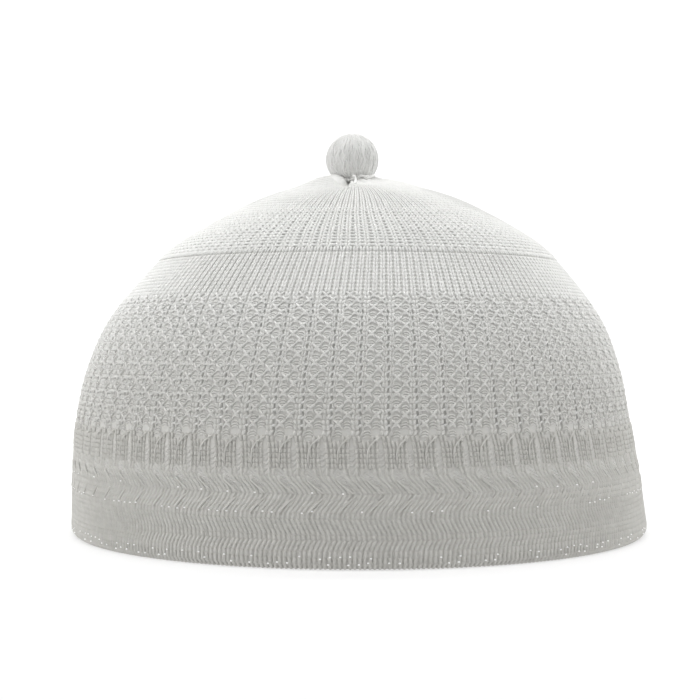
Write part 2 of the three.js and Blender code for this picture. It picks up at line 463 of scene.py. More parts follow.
@dataclass
class KnitPattern:
    """Where every wale of the knit runs.

    A place across the knit is counted in wales, three to a repeat. A wale's own line moves
    sideways with the length along the outline.
    """

    form: CapForm
    repeats: int = 72
    turn: float = -2.35
    drift: Course = Course(
        ((-4, 0), (5.0, 0), (8.2, 0.78), (13.2, -0.1), (14.6, -0.1), (19.6, 1.8), (24.2, -0.1))
        + ((26.0, 0), (74, 0), (90, 0.33), (95, 0.33), (113, -0.3), (152, -0.6))
    )
    centres: Sequence[Course] = (
        Course(((24, 0.5), (26, 0.62), (31, 0.62), (35, 0.45), (73, 0.45), (75, 0.5))),
        Course(((24, 1.5), (26, 1.42), (31, 1.42), (34, 1.5))),
        Course(((24, 2.5), (26, 2.82), (31, 2.8), (35, 2.55), (73, 2.52), (75, 2.5))),
    )
    openwork: Sequence[float] = (34.6 * MM, 74.2 * MM)
    openwork_groove: float = 0.05
    groove_half: float = 0.08
    openwork_sway: float = 0.16
    eyelet_line: Course = Course(((36.3, 0.73), (68.6, 1.27), (72.7, 1.45)))
    eyelet_gap: float = 0.95
    eyelet_half: float = 0.42
    eyelet_lap: float = 0.08
    eyelet_shift: float = 2.4 * MM
    hole_row: float = 36.3 * MM
    row_pitch: float = 4.08 * MM
    ladder_at: float = 1.0
    swell: Course = Course(((118, 0), (124, 0.2), (130, 0.33), (137, 0.33), (143, 0.2), (149, 0)))
    strong_gap: Course = Course(((92, 0.2), (98, 0.2), (105, 0.15), (112, 0.06), (119, 0.0), (152, 0)))
    weak_gap: Course = Course(((94, -0.03), (100, -0.03), (110, -0.03), (119, 0), (152, 0)))
    rung_rows: Sequence[float] = (
        93.3, 94.9, 96.4, 97.9, 99.7, 101.6, 103.6, 105.7, 107.9, 110.1, 112.3, 114.4, 116.6
    )
    # Two soft patches of painted shade on the crown's shoulders: the azimuth of each one's far end, and a
    # table of its other edge's azimuth. fold_edge is the soft width of their sides in degrees, fold_reach the
    # soft length of their ends.
    folds: Sequence[tuple[float, Course]] = (
        (351.0, Course(((101, 347), (108, 339), (113, 330), (118, 324), (125, 322), (133, 318), (141, 334)))),
        (189.0, Course(((116, 196), (121, 208), (127, 210), (136, 206), (142, 212), (148, 220)))),
    )
    fold_edge: float = 6.5
    fold_reach: float = 9.0 * MM

    def painted_shade_share(self, azimuth: np.ndarray, along: np.ndarray) -> np.ndarray:
        """How deep places lie in the painted shade of the crown's two shoulder patches, from 0 to 1.

        Args:
            azimuth: radians from +X towards +Y.
            along: lengths along the outline.

        Returns:
            A share for each place.
        """
        degrees = np.degrees(azimuth) % 360
        share = np.zeros(degrees.shape)
        for end, start in self.folds:
            edge = start.at(along)
            low, high = np.minimum(edge, end), np.maximum(edge, end)
            first, last = start.stops[0][0] * MM, start.stops[-1][0] * MM
            wide = smooth_step(degrees, low - self.fold_edge, low + self.fold_edge)
            wide = wide * (1 - smooth_step(degrees, high - self.fold_edge, high + self.fold_edge))
            tall = smooth_step(along, first, first + self.fold_reach)
            tall = tall * (1 - smooth_step(along, last - self.fold_reach, last))
            share = np.maximum(share, wide * tall)
        return share

    @property
    def wales(self) -> int:
        """Wales round the cap where the knit has three to a repeat."""
        return self.repeats * 3

    def wale_width(self, along: np.ndarray) -> np.ndarray:
        """Width of one of the three wales of a repeat."""
        return FULL_TURN * self.form.radius(along) / self.wales

    def azimuth(self, across: np.ndarray) -> np.ndarray:
        """Azimuth of a place that is counted in wales."""
        return (across + self.turn) / self.wales * FULL_TURN

    def point(self, across: np.ndarray, along: np.ndarray, depth: np.ndarray) -> np.ndarray:
        """Turn places on the knit, across counted in wales, into points."""
        across, along, depth = np.broadcast_arrays(across, along, depth)
        return self.form.place(self.azimuth(across), along, depth + self.swell.at(along) * MM)

    def in_every_repeat(self, rows: np.ndarray) -> tuple[np.ndarray, np.ndarray]:
        """Lay rows through every repeat.

        Args:
            rows: lengths along the outline.

        Returns:
            For each row in each repeat, where the repeat starts in wales, and the row's length.
        """
        repeat, along = np.meshgrid(np.arange(self.repeats), rows, indexing="ij")
        return repeat.ravel() * 3.0, along.ravel()

    def line(self, wale: np.ndarray, along: np.ndarray, lay: Lay) -> np.ndarray:
        """Middle line of wales.

        Args:
            wale: numbers of the wales.
            along: lengths along the outline.
            lay: how the wales are spread over a repeat.

        Returns:
            Places across the knit, in wales.
        """
        if lay is Lay.PAIRED:
            return self._paired_line(wale, along)
        place = (wale // 3) * 3.0 + self.drift.at(along)
        if lay is Lay.OPENWORK:
            low, high = self.firm_edges(wale, along)
            phase = FULL_TURN * (along - self.hole_row) / self.row_pitch
            return place + (low + high) / 2 + self.openwork_sway * np.cos(phase)
        for index, centre in enumerate(self.centres):
            place = place + np.where(wale % 3 == index, centre.at(along), 0.0)
        return place

    def firm_edges(self, wale: np.ndarray, along: np.ndarray) -> tuple[np.ndarray, np.ndarray]:
        """Left and right edges of the firm wales that frame the eyelets, in wales of a repeat.

        Args:
            wale: numbers of the wales.
            along: lengths along the outline.

        Returns:
            The left edges and the right edges.
        """
        eyelet = self.eyelet_line.at(along)
        first = wale % 3 == Wale.FIRST.value
        left = self.openwork_groove + self.groove_half
        right = 3 + self.openwork_groove - self.groove_half
        low = np.where(first, left, eyelet + self.eyelet_gap + self.eyelet_half - self.eyelet_lap)
        high = np.where(first, eyelet - self.eyelet_half + self.eyelet_lap, right)
        return low, high

    def _paired_line(self, wale: np.ndarray, along: np.ndarray) -> np.ndarray:
        """Middle lines of the crown's wales, two to a repeat, beside the empty needle.

        Args:
            wale: numbers of the wales.
            along: lengths along the outline.

        Returns:
            Places across the knit, in wales.
        """
        gap = self.strong_gap.at(along)
        weak = self.weak_gap.at(along)
        width = (3 - gap - weak) / 2
        centre = gap / 2 + width / 2 + (wale % 2) * (width + weak)
        return (wale // 2) * 3.0 + self.ladder_at + self.drift.at(along) + centre

    def paired_width(self, along: np.ndarray) -> np.ndarray:
        """Width of a crown wale, in wales of the side."""
        return (3 - self.strong_gap.at(along) - self.weak_gap.at(along)) / 2


@dataclass
class StitchField:
    """The V stitches of some bands, as one joined mesh."""

    pattern: KnitPattern
    name: str
    bands: Sequence[KnitBand]
    sides: int = 4
    rings: int = 2
    seed: int = 1
    looseness: float = 0.12
    thinnest: float = 0.12 * MM
    thickest: float = 0.62 * MM
    flatness: float = 0.9
    # Heights between which painted light makes the stitches lighter upwards, or None.
    painted_light_heights: tuple[float, float] | None = None

    def build(self) -> bpy.types.Object:
        """Lay every leg of the bands on the cap and join them.

        Returns:
            The new piece.
        """
        template = Template.spindle(self.sides, self.rings)
        blocks = [self._band(template, band) for band in self.bands]
        points = np.concatenate([placed for placed, _ in blocks])
        shade_patch_share = np.concatenate([share for _, share in blocks])
        chance = np.random.default_rng(self.seed)
        # Stitches in the shoulder patches of painted shade get a tint below 0, darker than their finish's
        # shade.
        tint = graded_tint(points, chance, self.painted_light_heights) * (1 - shade_patch_share) - FOLD_SHADE * shade_patch_share
        return joined_mesh(self.name, template, points, tint)

    def _band(self, template: Template, band: KnitBand) -> tuple[np.ndarray, np.ndarray]:
        """Place the legs of one band.

        Args:
            template: the grain that is bent into each leg.
            band: the band.

        Returns:
            Placed points, by leg and template point, and each leg's share of the painted shade on the crown's
            shoulders.
        """
        pattern = self.pattern
        pitch = (band.top - band.bottom) / band.courses
        if band.lay is Lay.PAIRED:
            numbers = np.arange(pattern.repeats * 2)
        else:
            kinds = [wale.value for wale in band.wales]
            numbers = np.concatenate([np.arange(pattern.repeats) * 3 + kind for kind in kinds])
        legs = np.meshgrid(numbers, np.arange(band.courses), np.array([-1.0, 1.0]), indexing="ij")
        wale, course, side = (part.ravel() for part in legs)
        foot_at = band.bottom + pitch * (course - band.overlap)
        head_at = band.bottom + pitch * (course + 1 + band.overlap)
        spread = np.ones(len(wale))
        if band.lay is Lay.PAIRED:
            spread = pattern.paired_width((foot_at + head_at) / 2)
        elif band.lay is Lay.OPENWORK:
            low, high = pattern.firm_edges(wale, (foot_at + head_at) / 2)
            spread = high - low
        chance = np.random.default_rng(self.seed + 17)
        loose = 1 + self.looseness * (chance.random((3, len(wale))) - 0.5)
        foot = pattern.line(wale, foot_at, band.lay) + side * band.foot * spread * loose[0]
        head = pattern.line(wale, head_at, band.lay) + side * band.head * spread * loose[1]
        shade_patch_share = pattern.painted_shade_share(pattern.azimuth(foot), foot_at)
        girth = band.girth * spread * loose[2]
        return self._legs(template, band, (foot, foot_at), (head, head_at), girth), shade_patch_share

    def _legs(
        self,
        template: Template,
        band: KnitBand,
        foot: tuple[np.ndarray, np.ndarray],
        head: tuple[np.ndarray, np.ndarray],
        girth: np.ndarray,
    ) -> np.ndarray:
        """Bend the grain between the feet and heads of the legs.

        Args:
            template: the grain.
            band: the band, for how its legs lie.
            foot: places across and along of the lower ends.
            head: places across and along of the upper ends.
            girth: half width of each leg, in wales.

        Returns:
            Placed points.
        """
        pattern = self.pattern
        width = pattern.wale_width((foot[1] + head[1]) / 2)
        t = (template.points[:, 0] + 1) / 2
        run_x = (head[0] - foot[0]) * width
        run_y = head[1] - foot[1]
        size = np.hypot(run_x, run_y)
        half = np.clip(girth * width, self.thinnest, self.thickest)[:, None]
        side = template.points[:, 1] * half
        across = foot[0][:, None] * width[:, None] + run_x[:, None] * t + side * (run_y / size)[:, None]
        along = foot[1][:, None] + run_y[:, None] * t - side * (run_x / size)[:, None]
        rise = np.sin(math.pi * t) * band.bow - band.dive + template.points[:, 2] * self.flatness
        return pattern.point(across / width[:, None], along, rise * half + band.lift)


@dataclass
class StrandRun:
    """A set of like strands: where their middles are and how they lie."""

    across: np.ndarray
    along: np.ndarray
    reach: float
    depth: float
    thickness: float
    arch: float = 0.0
    slant: float = 0.0
    dive: float = 0.0
    flat: float = 1.0


@dataclass(frozen=True)
class RaisedYarn:
    """One proud yarn of every repeat, along a table of places across and along."""

    path: Sequence[tuple[float, float]]
    thickness: float = 0.26 * MM
    lift: float = 0.1 * MM


@dataclass
class YarnStrands:
    """Single yarns of the knit, as one joined mesh."""

    pattern: KnitPattern
    name: str
    sides: int = 3
    steps: int = 4
    seed: int = 5
    # Heights between which painted light makes the strands lighter upwards, or None.
    painted_light_heights: tuple[float, float] | None = None

    def build(self, runs: Sequence[StrandRun | RaisedYarn]) -> bpy.types.Object:
        """Place every strand of the runs and join them.

        Args:
            runs: the sets of strands.

        Returns:
            The new piece.
        """
        template = Template.tube(self.sides, self.steps)
        places = {StrandRun: self._crossing, RaisedYarn: self._raised}
        points = np.concatenate([places[type(run)](template, run) for run in runs])
        chance = np.random.default_rng(self.seed)
        return joined_mesh(self.name, template, points, graded_tint(points, chance, self.painted_light_heights))

    def _crossing(self, template: Template, run: StrandRun) -> np.ndarray:
        """Bend the tube along each strand of a run.

        Args:
            template: the straight tube.
            run: the set of strands.

        Returns:
            Placed points, by strand and template point.
        """
        t = template.points[:, 0][None]
        across = run.across[:, None] + t * run.reach
        along = run.along[:, None] + (1 - t**2) * run.arch + t * run.slant
        along = along + template.points[:, 1][None] * run.thickness
        depth = run.depth + template.points[:, 2][None] * run.thickness * run.flat - t**2 * run.dive
        return self.pattern.point(across, along, depth)

    def _raised(self, template: Template, run: RaisedYarn) -> np.ndarray:
        """Bend the tube along the run's path in every repeat, thinner and deeper at its ends.

        Args:
            template: the straight tube.
            run: the proud yarn.

        Returns:
            Placed points, by strand and template point.
        """
        path = np.array(run.path)
        t = (template.points[:, 0] + 1) / 2
        share = np.linspace(0.0, 1.0, len(path))
        here, ahead, behind = (smooth_path(share, path, t + step) for step in (0.0, 0.02, -0.02))
        across = here[:, 0]
        along = here[:, 1] * MM
        width = self.pattern.wale_width(along)
        run_x, run_y = (ahead - behind).T
        run_x = run_x * width / MM
        size = np.maximum(np.hypot(run_x, run_y), 1e-9)
        full = np.clip(np.sin(math.pi * t) * 3, 0.25, 1.0) * run.thickness
        side = template.points[:, 1] * full
        across = across + side * run_y / size / width
        along = along - side * run_x / size
        depth = run.lift - (1 - full / run.thickness) * 0.5 * MM + template.points[:, 2] * full
        start = np.arange(self.pattern.repeats)[:, None] * 3.0
        return self.pattern.point(start + across[None], along[None], depth[None])


def smooth_path(stops: np.ndarray, points: np.ndarray, share: np.ndarray) -> np.ndarray:
    """Follow a path with rounded corners, as the mean of a few near places on it.

    Args:
        stops: share of the way at each of its points.
        points: the path, one point a row.
        share: shares of the way to read.

    Returns:
        One place a row.
    """
    ways = []
    for values in points.T:
        near = [np.interp(share + shift, stops, values) for shift in (-0.08, -0.04, 0.0, 0.04, 0.08)]
        ways.append(sum(near) / len(near))
    return np.stack(ways, axis=-1)


@dataclass
class GroundKnit:
    """The knit's body behind the stitches: a closed shell with the hem's roll and inside."""

    pattern: KnitPattern
    name: str = "cap_ground"
    columns_per_repeat: int = 12
    first_column: float = 1.0
    rows: int = 60
    inner_rows: int = 5
    sunk: Course = Course(
        ((-1.4, 0.2), (2, 0.3), (13, 0.3), (15, 0.2), (25, 0.2), (27, 0.27), (33, 0.3), (38, 0.36))
        + ((71, 0.36), (74, 0.32), (80, 0.3), (90, 0.3), (94, 0.25), (112, 0.25), (120, 0.15))
        + ((124, 0.05), (130, -0.15), (137, -0.15), (143, 0), (149, 0.15))
    )
    troughs: Sequence[tuple[int, Course]] = (
        (0, Course(((73, 0), (76, 0.35), (90, 0.3), (92.3, 0.2), (92.9, 0.65), (106, 0.5), (122, 0)))),
        (4, Course(((73, 0), (76, 0.35), (90, 0.3), (93, 0.1), (94, 0)))),
        (6, Course(((92.3, 0), (92.9, 0.45), (106, 0.35), (122, 0)))),
        (8, Course(((33, 0), (37, 0.55), (71, 0.55), (76, 0.35), (90, 0.3), (93, 0.1), (94, 0)))),
    )
    # Where the ground is plain: without purl relief, and in the painted shade colour behind the eyelets and
    # the ladders.
    plain: Course = Course(
        ((30, 0), (31, 1), (34, 1), (73.5, 1), (74.5, 0), (93, 0), (95, 1), (112, 1), (118, 0))
    )
    hem_depth: float = 9.0 * MM
    hem_inner_round: float = 0.9 * MM
    lace_blend: float = 2.0 * MM

    def _path(self) -> list[tuple[float, float]]:
        """Places along and depths of the shell's profile, from the outer top to the inner.

        Returns:
            Pairs of a length along the outline and a depth outwards.
        """
        form = self.pattern.form
        outer = np.linspace(form.top, form.hem_bottom, self.rows)
        path = [(float(a), -float(self.sunk.at(np.array(a))) * MM) for a in outer]
        under = form.hem_bottom - (form.hem_thickness - form.hem_round - self.hem_inner_round)
        path.append((under, -0.1 * MM))
        inner = np.linspace(self.hem_depth, form.top, self.inner_rows)
        walls = form.wall_at(inner)
        path.append((1.0 * MM, -form.hem_thickness))
        path.append((self.hem_depth - 1.0 * MM, -form.hem_thickness))
        path += [(float(a), -float(w)) for a, w in zip(inner, walls)]
        return path

    def build(self) -> bpy.types.Object:
        """Map a grid onto the cap and close its seam and poles.

        Returns:
            The new piece.
        """
        path = np.array(self._path())
        pattern = self.pattern
        columns = self.columns_per_repeat * pattern.repeats
        mesh = bmesh.new()
        bmesh.ops.create_grid(mesh, x_segments=columns, y_segments=len(path) - 1, size=1.0)
        grid = np.array([vert.co[:2] for vert in mesh.verts])
        step = np.rint((grid[:, 0] + 1) / 2 * columns).astype(int)
        row = np.rint((grid[:, 1] + 1) / 2 * (len(path) - 1)).astype(int)
        along = path[row, 0]
        outside = row < self.rows
        wave = np.cos(FULL_TURN * (along - pattern.hole_row) / pattern.row_pitch)
        low, high = pattern.openwork
        blend = self.lace_blend
        lace = smooth_step(along, low, low + blend) * (1 - smooth_step(along, high - blend, high))
        shift = pattern.drift.at(along) + lace * (pattern.openwork_groove + pattern.openwork_sway * wave)
        turn = pattern.azimuth(self.first_column + 3 * step / self.columns_per_repeat + shift * outside)
        depth = path[row, 1]
        for column, trough in self.troughs:
            here = (step % self.columns_per_repeat == column) & outside
            depth = depth - trough.at(along) * here * MM
        points = pattern.form.place(turn, along, depth)
        plain = self.plain.at(along) * outside
        # Painted shade on the crown's shoulders, kept as the attribute fold.
        fold = pattern.painted_shade_share(turn, along) * outside
        map_grid(mesh, points, "knit", np.stack([step / columns, along / MM], axis=1))
        for name, values in (("plain", plain), ("fold", fold)):
            layer = mesh.verts.layers.float.new(name)
            for vert, value in zip(mesh.verts, values):
                vert[layer] = float(value)
        self._close(mesh, row, len(path))
        bmesh.ops.remove_doubles(mesh, verts=mesh.verts, dist=1e-6)
        bmesh.ops.recalc_face_normals(mesh, faces=mesh.faces)
        return object_from(mesh, self.name)

    def _close(self, mesh: bmesh.types.BMesh, row: np.ndarray, rows: int) -> None:
        """Draw the first and the last row together to a pole each.

        Args:
            mesh: the grid on the cap.
            row: the row of each vertex.
            rows: how many rows there are.
        """
        form = self.pattern.form
        top = np.array([form.top])
        neck = form.place(np.zeros(1), top, np.zeros(1))[0]
        lean = float(neck[0] - form.radius(top)[0])
        height = float(form.height(top)[0])
        poles = {0: height - 0.4 * MM, rows - 1: height - form.gathered_wall - 1 * MM}
        for vert, index in zip(mesh.verts, row):
            if index in poles:
                vert.co = (lean, 0.0, poles[index])


def map_grid(mesh: bmesh.types.BMesh, points: np.ndarray, name: str, places: np.ndarray) -> None:
    """Move the vertices of a grid and give it a UV map.

    Args:
        mesh: the grid.
        points: a point for each vertex.
        name: the UV map's name.
        places: a place on the map for each vertex.
    """
    layer = mesh.loops.layers.uv.new(name)
    for face in mesh.faces:
        for loop in face.loops:
            loop[layer].uv = places[loop.vert.index]
    for vert, point in zip(mesh.verts, points):
        vert.co = point


def object_from(mesh: bmesh.types.BMesh, name: str) -> bpy.types.Object:
    """Make a smooth object of a bmesh and free it.

    Args:
        mesh: the finished bmesh.
        name: the piece's name.

    Returns:
        The new object, linked to the scene.
    """
    for face in mesh.faces:
        face.smooth = True
    data = bpy.data.meshes.new(name)
    mesh.to_mesh(data)
    mesh.free()
    piece = bpy.data.objects.new(name, data)
    bpy.context.scene.collection.objects.link(piece)
    return piece


# The ball and its tie


@dataclass
class YarnBall:
    """A small ball of yarn: fine strands wound from pole to pole over a core."""

    centre: Vector
    radius: float
    strand_radius: float = 0.33 * MM
    seed: int = 11
    uneven: float = 0.7
    slant: float = 0.55
    ragged: float = 0.14
    waver: float = 0.05
    waves: float = 9
    tuck: float = 1.2
    layers: Sequence[tuple[int, float, float, float]] = (
        (56, 0.02, 0.97, -0.3),
        (44, 0.03, 0.95, 0.0),
        (24, 0.04, 0.7, 0.2),
    )

    def core(self) -> bpy.types.Object:
        """The round core that shows dark between the strands.

        Returns:
            The new piece.
        """
        mesh = bmesh.new()
        inner = self.radius - 1.35 * self.strand_radius
        bmesh.ops.create_uvsphere(mesh, u_segments=48, v_segments=24, radius=inner)
        bmesh.ops.translate(mesh, verts=mesh.verts, vec=self.centre)
        return object_from(mesh, "ball_core")

    def winding(self) -> bpy.types.Object:
        """Three layers of strands: long ones, and shorter ones over them from the top.

        Returns:
            The new piece.
        """
        template = Template.tube(5, 18)
        chance = np.random.default_rng(self.seed)
        blocks = [self._layer(template, chance, *layer) for layer in self.layers]
        points = np.concatenate(blocks)
        return joined_mesh("ball_winding", template, points, chance.random(len(points)))

    def _layer(
        self,
        template: Template,
        chance: np.random.Generator,
        count: int,
        begin: float,
        end: float,
        lift: float,
    ) -> np.ndarray:
        """Wind one layer of strands.

        Args:
            template: the tube that is bent into each strand.
            chance: the seeded source of small differences.
            count: strands in the layer.
            begin: where they start, as a share of the way from the top pole down.
            end: where they stop, on the same way.
            lift: how far they stand proud, in strand radii.

        Returns:
            Placed points.
        """
        start = FULL_TURN * (np.arange(count) + self.uneven * (chance.random(count) - 0.5)) / count
        lean = self.slant * (chance.random((count, 1)) - 0.5)
        stop = begin + (end - begin) * (1 - self.ragged + self.ragged * chance.random((count, 1)))
        t = (template.points[:, 0][None] + 1) / 2
        down = math.pi * (begin + (stop - begin) * t)
        wave = self.waver * np.sin(self.waves * down + FULL_TURN * chance.random((count, 1)))
        azimuth = start[:, None] + lean * np.sin(down) + wave
        thin = np.clip(np.sin(down) ** 0.6, 0.3, 1.0) * self.strand_radius
        high = lift + 0.5 * (chance.random((count, 1)) - 0.5) * np.sin(down)
        sunk = self.tuck * np.clip((t - 0.85) / 0.15, 0, 1) ** 2
        reach = self.radius - self.strand_radius * (1.1 - high + sunk) + template.points[:, 2] * thin
        side = template.points[:, 1] * thin
        x = reach * np.sin(down) * np.cos(azimuth) - side * np.sin(azimuth)
        y = reach * np.sin(down) * np.sin(azimuth) + side * np.cos(azimuth)
        return np.stack([x, y, reach * np.cos(down)], axis=-1) + np.array(self.centre)


@dataclass
class TieYarn:
    """The yarn that is drawn round the ball's foot, and its loops over the gathers."""

    centre: Vector
    radius: float
    thickness: float
    loop_thickness: float = 0.36 * MM
    plies: int = 2
    twists: int = 22
    ply_share: float = 0.62
    steps: int = 120
    loops: Sequence[Sequence[tuple[float, float, float]]] = (
        ((-0.2, -6.6, 0.2), (0.5, -7.9, 1.2), (1.0, -9.4, 0.4), (1.0, -11.5, -1.1), (0.8, -14.5, -2.4)),
        ((1.6, -6.4, 0.4), (2.6, -7.6, 1.1), (4.2, -7.4, 0.8), (5.4, -6.0, 1.4)),
        ((3.2, -6.2, 0.2), (4.6, -7.4, 0.3), (6.0, -6.8, 1.0), (7.2, -4.8, 1.6)),
    )

    def build(self) -> bpy.types.Object:
        """Two plies twisted round each other in a ring, and the loops beside them.

        Returns:
            The new piece.
        """
        template = Template.tube(6, self.steps)
        t = template.points[:, 0]
        turn = (t + 1) / 2 * FULL_TURN
        strands = []
        for ply in range(self.plies):
            twist = self.twists * turn + math.pi * ply
            thick = self.ply_share * self.thickness
            reach = self.radius + 0.5 * self.thickness * np.cos(twist) + template.points[:, 2] * thick
            height = 0.5 * self.thickness * np.sin(twist) + template.points[:, 1] * thick
            strands.append(np.stack([reach * np.cos(turn), reach * np.sin(turn), height], axis=-1))
        strands += [self._loop(template, loop) for loop in self.loops]
        points = np.array(strands) + np.array(self.centre)
        tint = np.linspace(0.4, 0.9, len(strands))
        return joined_mesh("tie_strand", template, points, tint)

    def _loop(self, template: Template, stops: Sequence[tuple[float, float, float]]) -> np.ndarray:
        """Bend the tube along stops in millimetres from the tie's middle.

        Args:
            template: the straight tube.
            stops: the loop's path.

        Returns:
            Placed points.
        """
        path = np.array(stops) * MM
        share = np.linspace(0.0, 1.0, len(path))
        t = (template.points[:, 0] + 1) / 2
        line, ahead, back = (smooth_path(share, path, t + step) for step in (0.0, 0.02, -0.02))
        way = unit(ahead - back)
        side = unit(np.cross(way, np.array([0.0, 0.0, 1.0])))
        over = np.cross(side, way)
        thin = (self.loop_thickness * np.clip(np.sin(math.pi * t) * 4, 0.4, 1.0))[:, None]
        return line + (side * template.points[:, 1:2] + over * template.points[:, 2:3]) * thin


def unit(ways: np.ndarray) -> np.ndarray:
    """Bring every way, one a row, to a length of one."""
    return ways / np.maximum(np.linalg.norm(ways, axis=1, keepdims=True), 1e-9)


@dataclass
class NeckGathers:
    """The last pleats of the crown, drawn in and up under the ball, as one soft ring."""

    form: CapForm
    pleats: int = 34
    around: int = 306
    steps: int = 9
    inner: float = 5.2 * MM
    start: float = 4.5 * MM
    front_rise: float = 1.7 * MM
    side_rise: float = 0.4 * MM
    swell: float = 0.25 * MM
    pleat_depth: float = 0.45 * MM
    wander: Sequence[tuple[float, int]] = ((0.8, 3), (0.5, 7))
    tint: float = 0.6
    lumps: Sequence[tuple[float, float, float]] = (
        (195.0, 16.0, -0.5),
        (240.0, 10.0, 0.3),
        (254.5, 3.5, -0.9),
        (300.0, 12.0, 0.2),
    )

    def build(self) -> bpy.types.Object:
        """Map a grid onto the ring: up its outside to the ball's foot and back under it.

        Returns:
            The new piece.
        """
        mesh = bmesh.new()
        rows = 2 * self.steps
        bmesh.ops.create_grid(mesh, x_segments=self.around, y_segments=rows, size=1.0)
        grid = np.array([vert.co[:2] for vert in mesh.verts])
        turn = (grid[:, 0] + 1) / 2 * FULL_TURN
        way = grid[:, 1] + 1
        share = np.where(way <= 1, way, 2 - way)
        none = np.zeros(len(turn))
        top = self.form.top
        begin = self.form.place(turn, none + top - self.start, none - 0.25 * MM)
        neck = self.form.place(turn, none + top, none)
        axis = neck[:, 0] - self.form.radius(np.array(top)) * np.cos(turn)
        rise = self.side_rise + (self.front_rise - self.side_rise) * np.sin(turn) ** 2
        x = axis + self.inner * np.cos(turn)
        end = np.stack([x, self.inner * np.sin(turn), neck[:, 2] + rise], axis=-1)
        wander = sum(size * np.sin(times * turn) for size, times in self.wander)
        pleat = np.abs(np.sin(turn * self.pleats / 2 + wander))
        height = self.swell + self.pleat_depth * (pleat - 0.5)
        for centre, width, size in self.lumps:
            off = (np.degrees(turn) - centre) / width
            height = height + size * MM * np.exp(-(off**2))
        height = np.where(way <= 1, height, -0.3 * MM) * np.sin(math.pi * np.clip(share, 0, 1) ** 1.3)
        points = begin + (end - begin) * share[:, None]
        points[:, 2] += height
        map_grid(mesh, points, "strand", np.stack([turn * 8, share], axis=1))
        layer = mesh.verts.layers.float.new("tint")
        for vert in mesh.verts:
            vert[layer] = self.tint
        bmesh.ops.remove_doubles(mesh, verts=mesh.verts, dist=1e-6)
        bmesh.ops.recalc_face_normals(mesh, faces=mesh.faces)
        return object_from(mesh, "neck_gathers")


# Finishes


def math_node(
    tree: bpy.types.NodeTree, operation: str, first: object, second: object = 0.0
) -> bpy.types.NodeSocket:
    """Add a Math node between sockets or numbers.

    Args:
        tree: the material's or the group's nodes.
        operation: what the node does.
        first: a socket or a number.
        second: another one, for an operation that takes two.

    Returns:
        The node's output.
    """
    node = tree.nodes.new("ShaderNodeMath")
    node.operation = operation
    for socket, value in zip(node.inputs, (first, second)):
        if isinstance(value, bpy.types.NodeSocket):
            tree.links.new(value, socket)
        else:
            socket.default_value = value
    return node.outputs[0]


def mixed(
    tree: bpy.types.NodeTree, share: bpy.types.NodeSocket, first: object, second: object, clamp: bool = True
) -> bpy.types.NodeSocket:
    """Mix two colours.

    Args:
        tree: the material's or the group's nodes.
        share: how much of the second colour there is.
        first: a socket or a colour.
        second: another one.
        clamp: whether the share is kept from 0 to 1.

    Returns:
        The mixed colour.
    """
    node = tree.nodes.new("ShaderNodeMix")
    node.data_type = "RGBA"
    node.clamp_factor = clamp
    tree.links.new(share, node.inputs["Factor"])
    for name, value in (("A", first), ("B", second)):
        if isinstance(value, bpy.types.NodeSocket):
            tree.links.new(value, node.inputs[name])
        else:
            node.inputs[name].default_value = (*value, 1.0)
    return node.outputs["Result"]


def attribute(tree: bpy.types.NodeTree, name: str) -> bpy.types.NodeSocket:
    """Read a number that the mesh keeps at its points.

    Args:
        tree: the material's or the group's nodes.
        name: the attribute's name.

    Returns:
        The node's output.
    """
    node = tree.nodes.new("ShaderNodeAttribute")
    node.attribute_name = name
    return node.outputs["Fac"]


def uv_place(tree: bpy.types.NodeTree, name: str) -> bpy.types.NodeSocket:
    """Read a piece's own UV map.

    Args:
        tree: the material's or the group's nodes.
        name: the map's name.

    Returns:
        The node's output.
    """
    node = tree.nodes.new("ShaderNodeUVMap")
    node.uv_map = name
    return node.outputs["UV"]


def with_relief(
    material: bpy.types.Material, height: bpy.types.NodeSocket, strength: float, distance: float
) -> bpy.types.Material:
    """Give a material a fine relief.

    Args:
        material: the material, with its shader.
        height: a value that changes over the surface.
        strength: how much of the relief shows.
        distance: how far a height of 1 stands out.

    Returns:
        The same material.
    """
    tree = material.node_tree
    bump = tree.nodes.new("ShaderNodeBump")
    bump.inputs["Strength"].default_value = strength
    bump.inputs["Distance"].default_value = distance
    tree.links.new(height, bump.inputs["Height"])
    tree.links.new(bump.outputs["Normal"], tree.nodes["Principled BSDF"].inputs["Normal"])
    return material


def plain_material(name: str, **sockets: float | Colour) -> bpy.types.Material:
    """Make a material with its shader's own sockets set.

    Args:
        name: the material's name.
        sockets: a number or a colour for each, with low lines for the spaces in its name.

    Returns:
        The material.
    """
    material = bpy.data.materials.new(name)
    material.use_nodes = True
    shader = material.node_tree.nodes["Principled BSDF"]
    for socket, value in sockets.items():
        full = (*value, 1.0) if isinstance(value, tuple) else value
        shader.inputs[socket.replace("_", " ")].default_value = full
    return material


